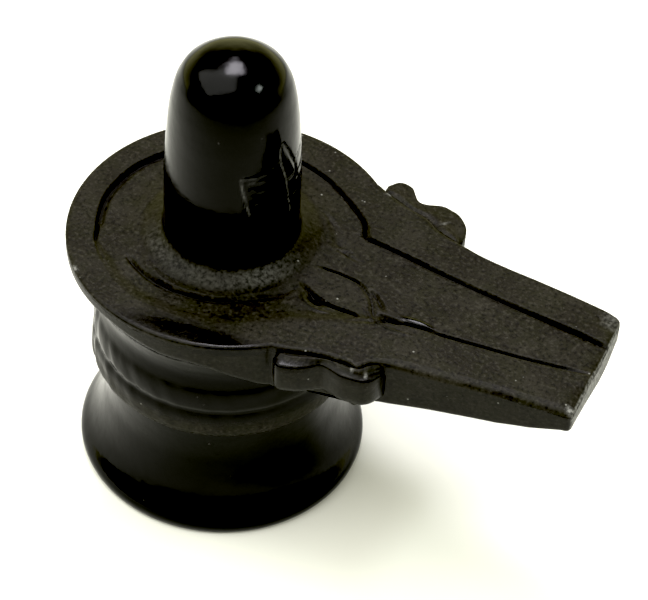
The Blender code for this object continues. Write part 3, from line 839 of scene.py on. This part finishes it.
stoneLooks = {
    "polished": (0.0014, 0.0014, 0.0012, 1),
    "matt": (0.0135, 0.0118, 0.0076, 1),
    "mattLight": (0.0270, 0.0245, 0.0175, 1),
    "oliveTint": (0.0165, 0.0165, 0.0070, 1),
    "lightGrain": (0.050, 0.046, 0.035, 1),
    "darkGrain": (0.003, 0.0027, 0.002, 1),
    # near black: painted shade for groove bottoms and the feet of walls
    "paintedGrooveShade": (0.0012, 0.001, 0.0008, 1),
    # pale stone for strokes, chips and the spout's end; also painted light on the collar and a painted
    # highlight at the spout's tip
    "chalkyAndPaintedLight": (0.30, 0.30, 0.28, 1),
    "dust": (0.22, 0.22, 0.20, 1),
    "specular": 0.115,
    "polishedRoughness": 0.14,
    "mattRoughness": 0.46,
    # how fine each pattern is
    "cloudScale": 120.0,
    "patchScale": 260.0,
    "grainScale": 1400.0,
    "dustScale": 420.0,
    "dustPatchScale": 300.0,
    "unevenScale": 170.0,
    # heights of the fine grain and of the polish's slight unevenness, in metres
    "grainHeight": 0.00012,
    "unevenHeight": 0.0003,
}


def blackStone(looks):
    made = bpy.data.materials.new("blackStone")
    made.use_nodes = True
    tree = made.node_tree
    shader = tree.nodes["Principled BSDF"]
    link = tree.links.new
    cut = node(tree, "ShaderNodeAttribute", attribute_name="carved").outputs["Fac"]
    light = node(tree, "ShaderNodeAttribute", attribute_name="light").outputs["Fac"]
    where = node(tree, "ShaderNodeTexCoord").outputs["Object"]
    cloud = noiseNode(tree, where, looks["cloudScale"], 4.0, 0.6)
    grain = noiseNode(tree, where, looks["grainScale"], 3.0, 0.6)
    # clouded matt ground with olive patches and fine grain
    tint = mixNode(tree, rangeNode(tree, cloud, 0.35, 0.68), looks["matt"], looks["mattLight"])
    patch = noiseNode(tree, where, looks["patchScale"], 3.0, 0.6)
    tint = mixNode(tree, rangeNode(tree, patch, 0.42, 0.62, 0.0, 0.55), tint, looks["oliveTint"])
    tint = mixNode(tree, rangeNode(tree, grain, 0.53, 0.68, 0.0, 0.7), tint, looks["lightGrain"])
    tint = mixNode(tree, rangeNode(tree, grain, 0.47, 0.34, 0.0, 0.8), tint, looks["darkGrain"])
    tone = mixNode(tree, cut, looks["polished"], tint)
    # chips, strokes and painted light are broken up by the grain, and groove bottoms and the feet of walls
    # get painted shade
    pale = mathNode(tree, "MULTIPLY", light, rangeNode(tree, grain, 0.36, 0.64, 0.3, 1.6))
    tone = mixNode(tree, pale, tone, looks["chalkyAndPaintedLight"])
    tone = mixNode(tree, rangeNode(tree, cut, 0.68, 0.95, 0.0, 0.85), tone, looks["paintedGrooveShade"])
    # specks of dust in some places, mostly where the stone is matt
    dust = node(tree, "ShaderNodeTexVoronoi", Scale=looks["dustScale"])
    link(where, dust.inputs["Vector"])
    chosen = rangeNode(tree, noiseNode(tree, where, looks["dustPatchScale"], 2.0), 0.58, 0.64)
    speck = mathNode(tree, "MULTIPLY", rangeNode(tree, dust.outputs["Distance"], 0.11, 0.05), chosen)
    speck = mathNode(tree, "MULTIPLY", speck, rangeNode(tree, cut, 0.0, 0.3, 0.12, 0.75))
    tone = mixNode(tree, speck, tone, looks["dust"])
    link(tone, shader.inputs["Base Color"])
    gloss = rangeNode(tree, cut, 0.0, 0.6, looks["polishedRoughness"], looks["mattRoughness"])
    gloss = mathNode(tree, "ADD", gloss, rangeNode(tree, cloud, 0.3, 0.7, -0.03, 0.05))
    gloss = mathNode(tree, "ADD", gloss, mathNode(tree, "MULTIPLY", light, 0.5))
    link(gloss, shader.inputs["Roughness"])
    shader.inputs["Specular IOR Level"].default_value = looks["specular"]
    fine = node(tree, "ShaderNodeBump", Distance=looks["grainHeight"])
    link(rangeNode(tree, cut, 0.0, 0.6, 0.015, 0.65), fine.inputs["Strength"])
    link(grain, fine.inputs["Height"])
    broad = node(tree, "ShaderNodeBump", Strength=0.35, Distance=looks["unevenHeight"])
    link(noiseNode(tree, where, looks["unevenScale"], 3.0, 0.55), broad.inputs["Height"])
    link(fine.outputs["Normal"], broad.inputs["Normal"])
    link(broad.outputs["Normal"], shader.inputs["Normal"])
    return made


stone.data.materials.append(blackStone(stoneLooks))
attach(stone, "root")
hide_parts("shiva_lingam")
print("stone painted and placed")


studio = {
    "floorColour": (0.92, 0.92, 0.86, 1),
    # world colours: towards the photographer, the far horizon, halfway up behind the object, overhead
    "nearSide": (0.05, 0.05, 0.04, 1),
    "farHorizon": (1.9, 1.84, 0.95, 1),
    "farSky": (0.30, 0.28, 0.24, 1),
    "overhead": (0.30, 0.29, 0.31, 1),
    "backdrop": (0.82, 0.82, 0.78, 1),
    # what lights the matt surfaces from all sides
    "roomLight": (0.86, 0.86, 0.75, 1),
    "nearWay": (0.376, -0.926, 0.0),
    # name, place, aim, size in metres, power and colour of each soft light
    "lights": [
        ("overheadSoftbox", (-0.36, -0.18, 1.0), (0, 0, 0), (1.0, 1.0), 11.5, (1.0, 1.0, 0.96)),
        ("sideLight", (0.50, 0.10, 0.72), (0, 0, 0.06), (0.14, 0.10), 1.3, (0.92, 1.0, 0.95)),
        ("windowLight", (-0.16, 0.36, 0.95), (0.0, 0.0, 0.1), (0.30, 0.20), 5.5, (0.96, 0.92, 1.0)),
    ],
    "floorHalfWidth": 4,
    # the photo's shadows are pressed towards black
    "blackLevel": 0.017,
}


def paleFloor():
    bm = bmesh.new()
    bmesh.ops.create_grid(bm, x_segments=2, y_segments=2, size=studio["floorHalfWidth"])
    mesh = bpy.data.meshes.new("paleFloor")
    bm.to_mesh(mesh)
    bm.free()
    floor = bpy.data.objects.new("paleFloor", mesh)
    bpy.context.scene.collection.objects.link(floor)
    paint = bpy.data.materials.new("palePaint")
    paint.use_nodes = True
    shader = paint.node_tree.nodes["Principled BSDF"]
    shader.inputs["Base Color"].default_value = studio["floorColour"]
    shader.inputs["Roughness"].default_value = 0.9
    shader.inputs["Specular IOR Level"].default_value = 0.0
    mesh.materials.append(paint)


def softLight(name, place, aim, size, power, colour):
    data = bpy.data.lights.new(name, "AREA")
    data.shape = "RECTANGLE"
    data.size, data.size_y = size
    data.energy = power
    data.color = colour
    lamp = bpy.data.objects.new(name, data)
    lamp.location = place
    lamp.rotation_euler = (Vector(aim) - Vector(place)).to_track_quat("-Z", "Y").to_euler()
    bpy.context.scene.collection.objects.link(lamp)


# A dim room round a pale table: dark towards the photographer, lighter behind the object
def studioWorld():
    sky = bpy.data.worlds.new("studio")
    sky.use_nodes = True
    tree = sky.node_tree
    way = node(tree, "ShaderNodeTexCoord")
    parts = node(tree, "ShaderNodeSeparateXYZ")
    tree.links.new(way.outputs["Generated"], parts.inputs["Vector"])
    towards = node(tree, "ShaderNodeVectorMath", operation="DOT_PRODUCT")
    tree.links.new(way.outputs["Generated"], towards.inputs[0])
    towards.inputs[1].default_value = studio["nearWay"]
    rising = rangeNode(tree, parts.outputs["Z"], 0.05, 0.6)
    farSide = mixNode(tree, rising, studio["farHorizon"], studio["farSky"])
    nearSide = rangeNode(tree, towards.outputs["Value"], -0.25, 0.1)
    allRound = mixNode(tree, nearSide, farSide, studio["nearSide"])
    above = rangeNode(tree, parts.outputs["Z"], 0.78, 0.95)
    colour = mixNode(tree, above, allRound, studio["overhead"])
    seen = node(tree, "ShaderNodeLightPath")
    spread = mixNode(tree, seen.outputs["Is Diffuse Ray"], colour, studio["roomLight"])
    shown = mixNode(tree, seen.outputs["Is Camera Ray"], spread, studio["backdrop"])
    tree.links.new(shown, tree.nodes["Background"].inputs["Color"])
    bpy.context.scene.world = sky


paleFloor()
studioWorld()
for setup in studio["lights"]:
    softLight(*setup)
settings = bpy.context.scene.view_settings
settings.view_transform = "Standard"
settings.use_curve_mapping = True
settings.curve_mapping.black_level = (studio["blackLevel"],) * 3
settings.curve_mapping.update()
print("studio lit")
